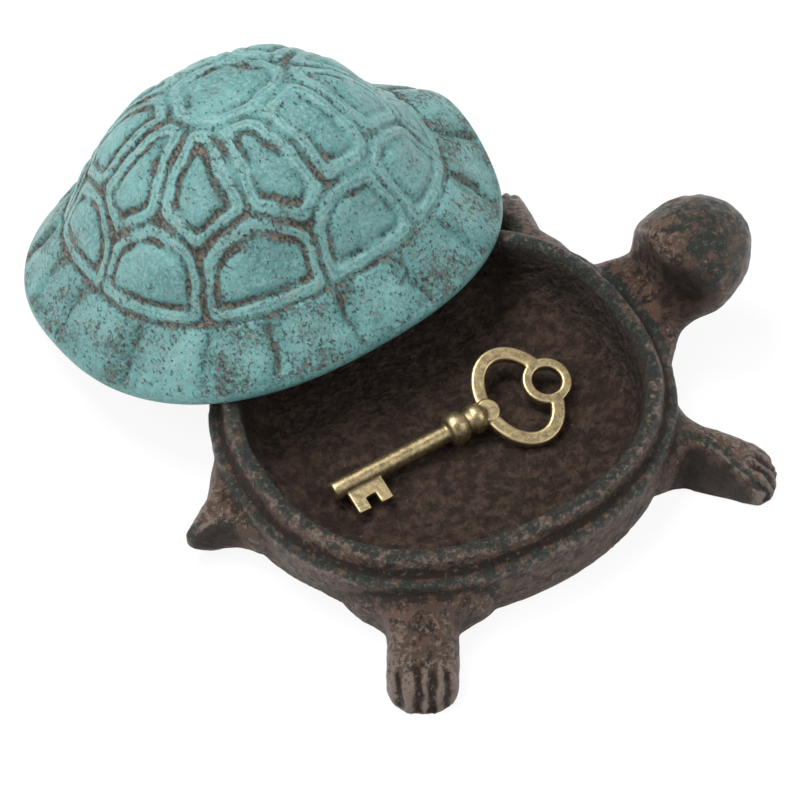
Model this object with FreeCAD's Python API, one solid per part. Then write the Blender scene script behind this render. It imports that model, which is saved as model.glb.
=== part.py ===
import FreeCAD, Part
import math
import os

# Turtle key hider: a cast iron turtle whose shell lifts off a hollow body that holds a spare key.
# Sizes are in millimetres. X runs toward the head, Y to the turtle's left, Z up.
# The origin is the middle of the flat belly that the turtle stands on.

# Tray: the hollow body. Its inner edge is an oval with slightly square shoulders
tray_half_length = 48.0
tray_half_width = 42.4
tray_squareness = 2.3
floor_thickness = 4.2
floor_corner_radius = 9.0
cavity_draft = 1.2
lip_width = 4.6
lip_height = 5.0
lip_round = 1.8
ledge_width = 3.3
ledge_height = 16.2
ledge_edge_round = 0.9
wall_draft = 1.6
belly_round = 2.2

# Shell: the lift-off lid, a dome on a sloping brim that overhangs the ledge all round
shell_overhang = 4.8
shell_squareness = 2.4
shell_wall = 3.4
crown_share = 0.16
brim_share = 0.79
rim_share = 0.975
tip_share = 0.997
brim_rise = 12.8
dome_height = 45.0
dome_flatness = 3.5
dome_slope = 1.4
neck_arch_rise = 10.0
neck_arch_spread = 19.0

# Off the tray, the shell leans with its far edge on the table and its near side over the lip
shell_back = 13.6
shell_aside = 20.6
shell_lean_bearing = -170.9
shell_turn = 5.3
rest_clearance = 0.45

# Head, an egg that grows out of a short neck, with a scoop behind it for the closed shell's arch
head_forward = 13.1
head_aside = 1.4
head_centre_z = 25.0
head_half_length = 17.7
head_radius = 14.6
head_taper = 0.03
head_back_share = 0.6
head_pitch = 22.0
head_yaw = 7.5
neck_width = 22.0
neck_fore_width = 26.0
neck_shoulder_width = 34.0
neck_root_width = 44.0
neck_throat_width = 17.6
neck_low = 7.0
neck_rise = 5.6
neck_root = 8.0
hollow_radius = 8.4
hollow_forward = 5.7
hollow_aside = 7.6
hollow_height = 26.5
scoop_clearance = 0.8
scoop_depth_share = 1.7
scoop_slope = 0.45

# Legs: stubs that leave the wall at a bearing round the tray and run out along their own turn
leg_top = 13.0
leg_root = 6.0
knee_share = 0.86
foot_share = 0.6
toe_count = 3
toe_length = 5.0
toe_height = 6.4
front_bearing = 38.0
front_turn = 45.0
front_left_bearing = 39.0
front_left_turn = 79.0
front_reach = 26.2
front_left_reach = 24.0
front_width = 14.5
front_flare = 1.2
rear_bearing = 125.0
rear_turn = 119.5
rear_reach = 24.0
rear_width = 15.8
rear_flare = 2.2

# Tail, a wedge that is flush with the ledge
tail_length = 13.7
tail_sweep = -1.0
tail_tip_width = 4.6
tail_tip_height = 8.5
tail_root_width = 26.0
tail_root = 7.0
tail_drop = 1.9

# Key
key_shank_length = 32.4
key_shank_diameter = 4.6
key_collar_diameter = 8.3
key_collar_width = 4.8
key_neck_diameter = 5.4
key_bow_half_length = 10.6
key_bow_half_width = 13.9
key_bow_bar = 3.4
key_ring_hole = 7.5
key_ring_wall = 2.4
key_thickness = 2.4
key_boss_diameter = 6.0
key_bit_start = 2.8
key_bit_length = 9.4
key_bit_reach = 8.1
key_bit_thickness = 1.8
key_notch_width = 2.7
key_notch_depth = 2.9
key_tip_room = 3.9
key_aside = 6.4
key_turn = 2.7
table_clearance = 0.05

# Straight sides that stand for each round outline, so that the facets stay few
oval_sides = 72
limb_sides = 20
head_sides = 32
head_stations = 11
toe_sides = 10

ledge_edge = lip_width + ledge_width
lip_top = ledge_height + lip_height
wall_x = tray_half_length + ledge_edge
shell_half_length = wall_x + shell_overhang
shell_half_width = tray_half_width + ledge_edge + shell_overhang
shell_mean_radius = (shell_half_length + shell_half_width) / 2.0

UP = FreeCAD.Vector(0, 0, 1)
ORIGIN = FreeCAD.Vector(0, 0, 0)


def oval_radius(angle, half_length, half_width, squareness):
    along = abs(math.cos(angle)) / half_length
    across = abs(math.sin(angle)) / half_width
    return (along ** squareness + across ** squareness) ** (-1.0 / squareness)


def tray_radius(angle, offset):
    return oval_radius(angle, tray_half_length, tray_half_width, tray_squareness) + offset


def shell_radius(angle):
    return oval_radius(angle, shell_half_length, shell_half_width, shell_squareness)


def oval_ring(radius_at, height_at):
    points = []
    for step in range(oval_sides):
        angle = 2.0 * math.pi * step / oval_sides
        radius = radius_at(angle)
        points.append(FreeCAD.Vector(radius * math.cos(angle), radius * math.sin(angle), height_at(angle)))
    return points


def tray_oval(offset, height):
    return oval_ring(lambda angle: tray_radius(angle, offset), lambda angle: height)


def flat_face(points):
    return Part.Face(Part.makePolygon(points + [points[0]]))


def skin(rings):
    # Solid between closed rings of points: flat faces, split in two where four corners don't lie in a plane
    flatness = 0.000001
    faces = [flat_face(rings[0]), flat_face(rings[-1])]
    for inner, outer in zip(rings, rings[1:]):
        for step in range(len(inner)):
            a, b = inner[step - 1], inner[step]
            c, d = outer[step], outer[step - 1]
            lean = (b - a).cross(c - a)
            if abs(lean.dot(d - a)) < flatness * lean.Length:
                faces.append(flat_face([a, b, c, d]))
            else:
                faces.append(flat_face([a, b, c]))
                faces.append(flat_face([a, c, d]))
    shell = Part.makeShell(faces)
    shell.sewShape()
    solid = Part.makeSolid(shell)
    if solid.Volume < 0:
        solid.reverse()
    return solid


def below_ground():
    size = 400.0
    return Part.makeBox(size, size, size, FreeCAD.Vector(-size / 2.0, -size / 2.0, -size))


def tray_wall():
    return skin([
        tray_oval(ledge_edge - wall_draft - belly_round, 0.0),
        tray_oval(ledge_edge - wall_draft - belly_round * 0.3, belly_round * 0.4),
        tray_oval(ledge_edge - wall_draft, belly_round * 1.2),
        tray_oval(ledge_edge, ledge_height * 0.6),
        tray_oval(ledge_edge, ledge_height - ledge_edge_round),
        tray_oval(ledge_edge - ledge_edge_round, ledge_height),
    ])


def lip():
    sections = [tray_oval(lip_width, ledge_height - ledge_edge_round)]
    for degrees in (0.0, 35.0, 65.0, 90.0):
        turn = math.radians(degrees)
        offset = lip_width - lip_round * (1.0 - math.cos(turn))
        sections.append(tray_oval(offset, ledge_height + lip_height * math.sin(turn)))
    return skin(sections)


def cavity():
    sections = []
    for degrees in (0.0, 30.0, 60.0, 90.0):
        turn = math.radians(degrees)
        offset = -cavity_draft - floor_corner_radius * (1.0 - math.sin(turn))
        height = floor_thickness + floor_corner_radius * (1.0 - math.cos(turn))
        sections.append(tray_oval(offset, height))
    crest = lip_round / 2.0
    sections.append(tray_oval(0.0, lip_top - crest))
    sections.append(tray_oval(crest, lip_top))
    sections.append(tray_oval(crest, lip_top + lip_height))
    return skin(sections)


def limb_section(x, y, turn, width, low, high, sides=limb_sides):
    # Rounded upright section across a limb that runs along the plan direction "turn"
    points = []
    middle = (low + high) / 2.0
    for step in range(sides):
        angle = 2.0 * math.pi * step / sides
        reach = oval_radius(angle, width / 2.0, (high - low) / 2.0, 2.6)
        side = reach * math.cos(angle)
        points.append(FreeCAD.Vector(x - side * math.sin(turn), y + side * math.cos(turn),
                                     middle + reach * math.sin(angle)))
    return points


def leg(bearing_degrees, turn_degrees, reach, width, flare):
    bearing = math.radians(bearing_degrees)
    turn = math.radians(turn_degrees)
    edge = tray_radius(bearing, ledge_edge)
    body_reach = reach - toe_length
    below = 3.0

    def section(out, side, spread, low, high, sides):
        x = edge * math.cos(bearing) + out * math.cos(turn) - side * math.sin(turn)
        y = edge * math.sin(bearing) + out * math.sin(turn) + side * math.cos(turn)
        return limb_section(x, y, turn, spread, low, high, sides)

    stations = [
        (-leg_root, width * flare * 1.3, leg_top + 1.0),
        (0.0, width * flare, leg_top),
        (leg_root * 0.6, width * 1.04, leg_top * 0.98),
        (body_reach * 0.7, width, leg_top * knee_share),
        (body_reach + toe_length * 0.3, width * 1.02, leg_top * foot_share),
    ]
    pieces = [skin([section(out, 0.0, spread, -below, top, limb_sides) for out, spread, top in stations])]
    toe_pitch = width / toe_count
    for number in range(toe_count):
        side = (number - (toe_count - 1) / 2.0) * toe_pitch
        tip = reach - abs(side) * 0.25
        pieces.append(skin([
            section(body_reach - toe_length, side, toe_pitch, -below, toe_height * 1.2, toe_sides),
            section(tip - toe_length * 0.35, side, toe_pitch * 1.05, -below, toe_height, toe_sides),
            section(tip, side, toe_pitch * 0.6, -below * 0.4, toe_height * 0.6, toe_sides),
        ]))
    return pieces[0].multiFuse(pieces[1:]).cut(below_ground())


def mirrored(shape):
    return shape.mirror(ORIGIN, FreeCAD.Vector(0, 1, 0))


def head():
    # Round sections along an egg's own line, from where the neck meets it. It leans up and a little aside
    sections = []
    first = math.acos(head_back_share)
    last = math.pi * 0.95
    for number in range(head_stations):
        share = -math.cos(first + (last - first) * number / (head_stations - 1))
        radius = head_radius * math.sqrt(1.0 - share ** 2) * (1.0 - head_taper * share)
        points = []
        for step in range(head_sides):
            angle = 2.0 * math.pi * step / head_sides
            points.append(FreeCAD.Vector(head_half_length * share, radius * math.cos(angle),
                                         radius * math.sin(angle)))
        sections.append(points)
    egg = skin(sections)
    egg.rotate(ORIGIN, FreeCAD.Vector(0, 1, 0), -head_pitch)
    egg.rotate(ORIGIN, UP, head_yaw)
    egg.translate(FreeCAD.Vector(wall_x + head_forward, head_aside, head_centre_z))
    return egg


def neck():
    # Wide shoulders at the wall, drawn in under the head. Its top stands high enough for the scoop to cut it
    middle = wall_x + head_forward * 0.4
    throat = wall_x + head_forward * 0.8
    top = ledge_height + neck_rise
    return skin([
        limb_section(wall_x - neck_root, 0, 0, neck_root_width, neck_low * 0.4, ledge_height - 0.5),
        limb_section(wall_x - 1.2, 0, 0, neck_shoulder_width, neck_low * 0.6, ledge_height - 0.1),
        limb_section((wall_x + middle) / 2.0, 0, 0, neck_fore_width, neck_low * 0.9, top - neck_rise / 2.0),
        limb_section(middle, head_aside * 0.5, 0, neck_width, neck_low, top),
        limb_section(throat, head_aside, 0, neck_throat_width, neck_low * 1.7, head_centre_z),
    ])


def tail():
    # Its root passes under the closed shell's rim
    root_top = ledge_height - tail_drop
    middle = -wall_x - tail_length * 0.45
    waist = -wall_x - tail_length * 0.8
    tip = -wall_x - tail_length
    return skin([
        limb_section(-wall_x + tail_root, 1.0, math.pi, tail_root_width * 1.3, 0.5, root_top),
        limb_section(-wall_x, 1.0, math.pi, tail_root_width, 0.8, root_top),
        limb_section(middle, 0.6, math.pi, tail_root_width * 0.56, 1.6, root_top - 1.6),
        limb_section(waist, tail_sweep * 0.6, math.pi, tail_tip_width * 1.6, 3.2, tail_tip_height + 2.4),
        limb_section(tip, tail_sweep, math.pi, tail_tip_width * 0.7, 5.0, tail_tip_height + 0.6),
    ])


def head_hollow():
    # Rounded hollow behind the head, on the side that the head turns away from
    centre = FreeCAD.Vector(wall_x + hollow_forward, -hollow_aside, hollow_height)
    return Part.makeSphere(hollow_radius, centre)


def neck_scoop():
    # Room behind the head for the arch in the closed shell's brim: it rises from the ledge's edge
    # to the brim's underside, and its back leans over the brim
    rim_top = closed_height() + neck_arch_rise + scoop_clearance
    rim_bottom = rim_top - shell_wall * scoop_depth_share
    lean = scoop_slope * dome_height
    rings = [tray_oval(ledge_edge, ledge_height)]
    for offset, height in ((0.0, rim_bottom), (0.0, rim_top), (-lean, rim_top + dome_height)):
        reach = scoop_clearance + offset
        rings.append(oval_ring(lambda angle: shell_radius(angle) + reach, lambda angle: height))
    return skin(rings)


def base_casting():
    rear_leg = leg(rear_bearing, rear_turn, rear_reach, rear_width, rear_flare)
    limbs = [
        lip(),
        neck().fuse(head()).cut([neck_scoop(), head_hollow()]),
        tail(),
        leg(front_left_bearing, front_left_turn, front_left_reach, front_width, front_flare),
        mirrored(leg(front_bearing, front_turn, front_reach, front_width, front_flare)),
        rear_leg,
        mirrored(rear_leg),
    ]
    body = tray_wall().multiFuse(limbs)
    return body.cut(cavity()).cut(below_ground())


def smooth_step(value):
    share = max(0.0, min(1.0, value))
    return share * share * (3.0 - 2.0 * share)


def arch_lift(angle, share):
    # The front of the brim arches up over the neck
    away = math.degrees(math.atan2(math.sin(angle), math.cos(angle))) / neck_arch_spread
    arch_start = 0.62
    return neck_arch_rise * math.exp(-away * away) * smooth_step((share - arch_start) / (1.0 - arch_start))


def dome_profile(share):
    if share >= brim_share:
        return brim_rise * (1.0 - share) / (1.0 - brim_share)
    inner = share / brim_share
    return brim_rise + (dome_height - brim_rise) * (1.0 - inner ** dome_flatness) ** dome_slope


def shell_place(share, depth):
    # Share of the oval and height of a place on the dome, at a depth below the outer face
    step = 0.004
    rise = dome_profile(share - step) - dome_profile(share + step)
    run = 2.0 * step * shell_mean_radius
    slant = math.hypot(run, rise)
    return share - depth * rise / (slant * shell_mean_radius), dome_profile(share) - depth * run / slant


def shell_point(angle, share, depth):
    inset_share, height = shell_place(share, depth)
    radius = inset_share * shell_radius(angle)
    lifted = height + arch_lift(angle, share)
    return FreeCAD.Vector(radius * math.cos(angle), radius * math.sin(angle), lifted)


def shell_ring(share, depth):
    inset_share, height = shell_place(share, depth)
    return oval_ring(lambda angle: inset_share * shell_radius(angle),
                     lambda angle: height + arch_lift(angle, share))


def shell_underside():
    # Shares and depths of the rings from the crown's inner face out to the rim's outer corner
    shares = (crown_share, 0.3, 0.45, 0.58, 0.68, 0.75, brim_share, rim_share)
    rings = [(share, shell_wall) for share in shares]
    return rings + [(tip_share, shell_wall * 0.62), (tip_share, shell_wall * 0.3)]


def shell_lid():
    sections = []
    for share, depth in shell_underside():
        sections.append(shell_ring(share, depth))
    shares = (rim_share, 0.9, brim_share, 0.76, 0.72, 0.67, 0.61, 0.54, 0.46, 0.37, 0.27, crown_share)
    for share in shares:
        sections.append(shell_ring(share, 0.0))
    return skin(sections)


def underside_points():
    # Points on the underside: its rings, and steps along the straight lines between them
    rings = shell_underside()
    steps = 20
    points = []
    for inner, outer in zip(rings, rings[1:]):
        for number in range(oval_sides):
            angle = 2.0 * math.pi * number / oval_sides
            start = shell_point(angle, *inner)
            span = shell_point(angle, *outer) - start
            for step in range(steps + 1):
                points.append(start + span * (step / steps))
    return points


def tray_top(x, y):
    # Height of the lip or the ledge below a place, and nothing elsewhere
    offset = math.hypot(x, y) - tray_radius(math.atan2(y, x), 0.0)
    if offset < 0.0 or offset > ledge_edge:
        return 0.0
    if offset > lip_width:
        return ledge_height
    round_share = max(0.0, (offset - lip_width + lip_round) / lip_round)
    return ledge_height + lip_height * math.sqrt(1.0 - round_share ** 2)


def least_gap(points, place):
    # Least height of the shell's underside over the tray
    gap = 1000.0
    for point in points:
        spot = place.multVec(point)
        top = tray_top(spot.x, spot.y)
        if top > 0.0:
            gap = min(gap, spot.z - top)
    return gap


def closed_height():
    # Height of the brim's plane when the shell sits on the lip
    return rest_clearance - least_gap(underside_points(), FreeCAD.Placement())


def leaning_place(points, lean):
    # The plan place is fixed, and the height sets the shell's lowest point on the table
    bearing = math.radians(shell_lean_bearing)
    axis = FreeCAD.Vector(math.cos(bearing), math.sin(bearing), 0)
    rotation = FreeCAD.Rotation(axis, lean) * FreeCAD.Rotation(UP, shell_turn)
    lowest = min(rotation.multVec(point).z for point in points)
    y = tray_half_width + lip_width + shell_aside
    return FreeCAD.Placement(FreeCAD.Vector(-shell_back, y, table_clearance - lowest), rotation)


def resting_place():
    # The least lean at which the shell clears the lip, found by halving
    points = underside_points()
    low = 0.0
    high = 45.0
    for step in range(16):
        lean = (low + high) / 2.0
        if least_gap(points, leaning_place(points, lean)) > rest_clearance:
            high = lean
        else:
            low = lean
    return leaning_place(points, high)


def place_shell(shape):
    placed = shape.copy()
    placed.Placement = resting_place()
    return placed


def spun(profile_points):
    points = [FreeCAD.Vector(x, radius, 0) for x, radius in profile_points]
    points.append(points[0])
    return Part.Face(Part.makePolygon(points)).revolve(ORIGIN, FreeCAD.Vector(1, 0, 0), 360)


def collar_profile(start, width, bottom, top):
    slope = (top - bottom) * 0.7
    return [(start, bottom), (start + slope, top), (start + width - slope, top), (start + width, bottom)]


def skeleton_key():
    radius = key_shank_diameter / 2.0
    collar = key_collar_diameter / 2.0
    neck_radius = key_neck_diameter / 2.0
    chamfer = radius * 0.3
    gap = 1.2
    second = key_shank_length + key_collar_width + gap
    second_width = key_collar_width * 0.75
    end = second + second_width
    profile = [(0, 0), (0, radius - chamfer), (chamfer, radius), (key_shank_length, radius)]
    profile = profile + collar_profile(key_shank_length, key_collar_width, neck_radius, collar)
    profile = profile + collar_profile(second, second_width, neck_radius, collar * 0.92)
    profile = profile + [(end + 1.5, key_thickness * 0.7), (end + 1.5, 0)]
    bow_centre = end + key_bow_half_length
    key = spun(profile).multiFuse([key_bow(bow_centre), key_bit()])
    roll = math.degrees(math.asin((collar - key_thickness / 2.0) / key_bow_half_width))
    key.rotate(ORIGIN, FreeCAD.Vector(1, 0, 0), roll)
    key.rotate(ORIGIN, UP, key_turn)
    tip_x = key_tip_room - (tray_half_length - cavity_draft - floor_corner_radius)
    key.translate(FreeCAD.Vector(tip_x, -key_aside, floor_thickness + collar + table_clearance))
    return key


def ellipse_plate(centre, half_length, half_width):
    ellipse = Part.Ellipse(FreeCAD.Vector(centre, half_width, 0), FreeCAD.Vector(centre + half_length, 0, 0),
                           FreeCAD.Vector(centre, 0, 0))
    plate = Part.Face(Part.Wire([ellipse.toShape()])).extrude(FreeCAD.Vector(0, 0, key_thickness))
    plate.translate(FreeCAD.Vector(0, 0, -key_thickness / 2.0))
    return plate


def key_bow(centre):
    plate = ellipse_plate(centre, key_bow_half_length, key_bow_half_width)
    half_length = key_bow_half_length - key_bow_bar
    plate = plate.cut(ellipse_plate(centre, half_length, key_bow_half_width - key_bow_bar))
    ring_x = centre + key_bow_half_length - key_ring_wall * 0.9
    base = FreeCAD.Vector(ring_x, 0, -key_thickness / 2.0)
    ring = Part.makeCylinder(key_ring_hole / 2.0 + key_ring_wall, key_thickness, base)
    hole = Part.makeCylinder(key_ring_hole / 2.0, key_thickness, base)
    boss_height = key_thickness + 0.8
    boss_base = FreeCAD.Vector(centre - key_bow_half_length + key_bow_bar / 2.0, 0, -boss_height / 2.0)
    boss = Part.makeCylinder(key_boss_diameter / 2.0, boss_height, boss_base)
    return plate.fuse(ring).cut(hole).fuse(boss)


def key_bit():
    half = key_bit_thickness / 2.0
    corner = FreeCAD.Vector(key_bit_start, -key_bit_reach, -half)
    plate = Part.makeBox(key_bit_length, key_bit_reach, key_bit_thickness, corner)
    corner.x = key_bit_start + (key_bit_length - key_notch_width) / 2.0
    notch = Part.makeBox(key_notch_width, key_notch_depth, key_bit_thickness, corner)
    return plate.cut(notch)


def main():
    os.makedirs("parts", exist_ok=True)
    nodes = {
        "base_casting": base_casting(),
        "shell_lid": place_shell(shell_lid()),
        "skeleton_key": skeleton_key(),
    }
    for name, shape in nodes.items():
        shape.exportStep("parts/" + name + ".step")
        print(name, len(shape.Solids), round(shape.Volume, 1), shape.isValid())


main()
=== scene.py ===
import bmesh
import bpy
import math
from mathutils import Matrix, Vector, noise


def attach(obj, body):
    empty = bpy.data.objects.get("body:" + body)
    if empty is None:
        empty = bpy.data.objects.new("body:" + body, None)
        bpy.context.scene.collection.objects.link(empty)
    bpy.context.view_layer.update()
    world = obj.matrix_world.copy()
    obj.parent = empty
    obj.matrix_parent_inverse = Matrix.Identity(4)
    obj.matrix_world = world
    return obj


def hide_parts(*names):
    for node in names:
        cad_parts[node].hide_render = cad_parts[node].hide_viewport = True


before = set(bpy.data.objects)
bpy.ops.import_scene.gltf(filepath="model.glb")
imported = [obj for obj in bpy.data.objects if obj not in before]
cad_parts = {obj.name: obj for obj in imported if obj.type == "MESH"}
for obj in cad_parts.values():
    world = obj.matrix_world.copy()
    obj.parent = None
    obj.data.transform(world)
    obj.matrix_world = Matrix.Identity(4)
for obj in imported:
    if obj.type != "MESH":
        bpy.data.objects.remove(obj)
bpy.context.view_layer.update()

# Turtle key hider: a turquoise shell, a brown iron body and a brass key. Metres, in the key hider's own frame
mm = 0.001


def smoothStep(value):
    share = max(0.0, min(1.0, value))
    return share * share * (3 - 2 * share)


def between(value, low, high):
    return smoothStep((value - low) / (high - low))


def hump(value, middle, halfWidth):
    # 1 at the middle, 0 from halfWidth away
    return 1 - smoothStep(abs(value - middle) / halfWidth)


def lumps(point, size, seed):
    # Soft noise from -1 to 1 with lumps of that size
    return noise.noise(point / size + Vector((seed, 2 * seed, -seed)))


def patchy(point, size, seed, least, low, high):
    # From least to 1 in patches of that size
    return least + (1 - least) * between(lumps(point, size, seed), low, high)


def turned(point):
    # Bearing and distance from the axis
    return math.atan2(point.y, point.x), math.hypot(point.x, point.y)


def polar(radius, angle, height=0):
    return Vector((radius * math.cos(angle), radius * math.sin(angle), height))


def drawn(table, value):
    # Height of a line through (place, height) pairs
    if value <= table[0][0]:
        return table[0][1]
    for (low, first), (high, second) in zip(table, table[1:]):
        if value <= high:
            return first + (second - first) * (value - low) / (high - low)
    return table[-1][1]


# Materials
class Signal:
    # A node's output that takes plain arithmetic
    def __init__(self, finish, socket):
        self.finish = finish
        self.socket = socket

    def __add__(self, other):
        return self.finish.maths("ADD", self, other)

    __radd__ = __add__

    def __sub__(self, other):
        return self.finish.maths("SUBTRACT", self, other)

    def __rsub__(self, other):
        return self.finish.maths("SUBTRACT", other, self)

    def __mul__(self, other):
        return self.finish.maths("MULTIPLY", self, other)

    __rmul__ = __mul__


class Finish:
    # A material whose nodes are made by one method
    def __init__(self, name):
        self.material = bpy.data.materials.new(name)
        self.material.use_nodes = True
        self.tree = self.material.node_tree
        self.tree.nodes.clear()
        self.place = self.node("TexCoord", output="Object")

    def node(self, kind, settings=None, inputs=None, output=0):
        made = self.tree.nodes.new("ShaderNode" + kind)
        for name, value in (settings or {}).items():
            setattr(made, name, value)
        for key, value in (inputs or {}).items():
            if isinstance(value, Signal):
                self.tree.links.new(value.socket, made.inputs[key])
            else:
                made.inputs[key].default_value = value
        return Signal(self, made.outputs[output]) if made.outputs else None

    def maths(self, operation, first, second):
        return self.node("Math", {"operation": operation}, {0: first, 1: second})

    def noise(self, size, detail=4.0, roughness=0.55, stretch=(1, 1, 1)):
        # Lumps of about that size in metres
        scaled = self.node("Mapping", {}, {"Vector": self.place, "Scale": tuple(s / size for s in stretch)})
        return self.node("TexNoise", {}, {"Vector": scaled, "Scale": 1.0, "Detail": detail,
                                          "Roughness": roughness})

    def step(self, signal, low, high):
        return self.node("MapRange", {"interpolation_type": "SMOOTHSTEP"},
                         {"Value": signal, "From Min": low, "From Max": high})

    def attribute(self, name):
        return self.node("Attribute", {"attribute_name": name}, output="Fac")

    def mix(self, share, first, second):
        # Colours as (r, g, b) or signals
        values = [v if isinstance(v, Signal) else (*v, 1) for v in (first, second)]
        return self.node("Mix", {"data_type": "RGBA"}, {0: share, 6: values[0], 7: values[1]}, output=2)

    def layer(self, under, signal, look):
        # One colour over another where the signal rises
        low, high, cover, over = look
        return self.mix(self.step(signal, low, high) * cover, under, over)

    def bump(self, height, distance):
        return self.node("Bump", {}, {"Height": height, "Distance": distance, "Strength": 1.0})

    def close(self, **inputs):
        named = {key.replace("_", " "): value for key, value in inputs.items()}
        shader = self.node("BsdfPrincipled", {}, named)
        self.node("OutputMaterial", {}, {"Surface": shader})
        return self.material


verdigris = {
    "main": (0.102, 0.258, 0.249), "rust": (0.150, 0.098, 0.072), "pit": (0.030, 0.022, 0.018),
    "gloss": 0.44, "grain": 0.5 * mm,
    # Sizes of blotches and grains
    "cloud": 13 * mm, "patch": 9 * mm, "mottle": 2.4 * mm, "broken": 1.0 * mm, "grit": 0.8 * mm,
    # Layers: where each sets in, from nothing to full, how much it then covers, and its colour
    "deep": (0.78, 1.05, 1, (0.055, 0.175, 0.170)), "pale": (0.46, 0.70, 0.8, (0.210, 0.365, 0.348)),
    "worn": (0.66, 0.80, 0.5, (0.25, 0.29, 0.26)), "shadow": (0.44, 0.56, 1, (0.052, 0.105, 0.098)),
    "rustFrom": (0.86, 1.02), "rustCover": 0.92, "pitFrom": (0.67, 0.73), "pitCover": 0.85,
}


def verdigrisFinish():
    # Turquoise paint rubbed thin; brown iron, speckled with painted shade, in its grooves, scuffs and pits
    f = Finish("verdigrisPaint")
    groove, ridge = (f.attribute(name) for name in ("groove", "ridge"))
    cloud = f.noise(verdigris["cloud"], 4)
    patch = f.noise(verdigris["patch"], 3, 0.6)
    mottle = f.noise(verdigris["mottle"], 6, 0.70)
    broken = f.noise(verdigris["broken"], 6, 0.76)
    grit = f.noise(verdigris["grit"], 4, 0.72, (1, 0.45, 1))
    paint = f.layer(verdigris["main"], cloud + 0.8 * mottle, verdigris["deep"])
    paint = f.layer(paint, broken + 0.12 * ridge, verdigris["pale"])
    paint = f.layer(paint, mottle + 0.06 * ridge + 0.2 * patch, verdigris["worn"])
    # Rust speckled with a dark green painted shade, as if the grooves lay in shadow
    rustAndPaintedShade = f.layer(verdigris["rust"], grit, verdigris["shadow"])
    rust = f.step(broken + 0.32 * groove + 0.5 * patch, *verdigris["rustFrom"])
    pit = f.step(grit + 0.12 * groove + 0.14 * patch, *verdigris["pitFrom"])
    colour = f.mix(rust * verdigris["rustCover"], paint, rustAndPaintedShade)
    colour = f.mix(pit * verdigris["pitCover"], colour, verdigris["pit"])
    height = mottle + grit * 0.4 - 0.4 * rust - 0.4 * pit
    return f.close(Base_Color=colour, Roughness=verdigris["gloss"] + 0.25 * rust, Specular_IOR_Level=0.45,
                   Normal=f.bump(height, verdigris["grain"]))


ironDark = (0.016, 0.010, 0.0075)
ironAsh = (0.25, 0.20, 0.165)
iron = {
    "outer": (0.078, 0.049, 0.035), "bowl": (0.026, 0.0165, 0.012), "bloom": (0.13, 0.165, 0.135),
    "grain": 1.4 * mm,
    "cloud": 10 * mm, "mottle": 2.8 * mm, "pebble": 1.9 * mm, "broken": 1.1 * mm, "grit": 0.6 * mm,
    "warm": (0.62, 0.92, 1, (0.125, 0.074, 0.051)), "dark": (0.60, 0.72, 0.9, ironDark),
    "ash": (0.56, 0.66, 0.7, ironAsh), "patina": (0.60, 0.72, 0.9, (0.022, 0.027, 0.023)),
    "bowlWarm": (0.42, 0.66, 1, (0.080, 0.050, 0.036)), "bowlAsh": (0.60, 0.70, 0.6, ironAsh),
    "bowlDark": (0.58, 0.66, 0.7, ironDark), "shadeCover": 0.85,
    "bloomFrom": (0.57, 0.66), "bloomPlace": (0.05, 0.45), "bloomCover": 0.6,
}


def ironFinish():
    # Brown cast iron, green-black brushed over its edges, and a pebbly bowl, dark partly from painted shade
    f = Finish("brownIron")
    names = ("hollow", "edge", "bowl", "green", "shade")
    hollow, edge, bowl, green, shade = (f.attribute(name) for name in names)
    cloud = f.noise(iron["cloud"], 4)
    mottle = f.noise(iron["mottle"], 6, 0.70)
    broken = f.noise(iron["broken"], 6, 0.76)
    grit = f.noise(iron["grit"], 4, 0.7)
    pebble = f.noise(iron["pebble"], 2, 0.5)
    colour = f.layer(iron["outer"], cloud + 0.5 * broken, iron["warm"])
    colour = f.layer(colour, mottle + 0.28 * hollow + 0.25 * cloud, iron["dark"])
    colour = f.layer(colour, broken + 0.22 * edge - 0.1 * shade - 0.12 * green, iron["ash"])
    # Inside the bowl the iron is darker: partly its own colour, partly painted shade of the recess
    inside = f.layer(iron["bowl"], mottle, iron["bowlWarm"])
    inside = f.layer(inside, broken, iron["bowlAsh"])
    inside = f.layer(inside, grit, iron["bowlDark"])
    colour = f.mix(bowl, colour, inside)
    # Painted shade where the shade attribute is set: behind the head, up the bowl's wall, behind the leg
    # crests, by the tail
    colour = f.mix(shade * iron["shadeCover"], colour, ironDark)
    colour = f.layer(colour, mottle + 0.30 * green, iron["patina"])
    speck = f.step(broken + 0.04 * green, *iron["bloomFrom"]) * f.step(green, *iron["bloomPlace"])
    colour = f.mix(speck * iron["bloomCover"], colour, iron["bloom"])
    height = mottle + 0.7 * broken + 0.3 * grit + bowl * (pebble * 1.6 - 0.5 * mottle)
    return f.close(Base_Color=colour, Roughness=0.22 + 0.3 * mottle, Specular_IOR_Level=0.3,
                   Normal=f.bump(height, iron["grain"]))


brassBright = (0.50, 0.40, 0.22)
brass = {
    "mid": (0.21, 0.16, 0.088), "dark": (0.04, 0.029, 0.018),
    "grain": 0.03 * mm, "mottle": 1.6 * mm, "grit": 0.4 * mm,
    "rubbed": (0.50, 0.94, 1, brassBright), "edges": (0.3, 0.8, 1, brassBright),
    "tarnishFrom": (0.45, 0.95), "tarnishCover": 0.9,
}


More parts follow.
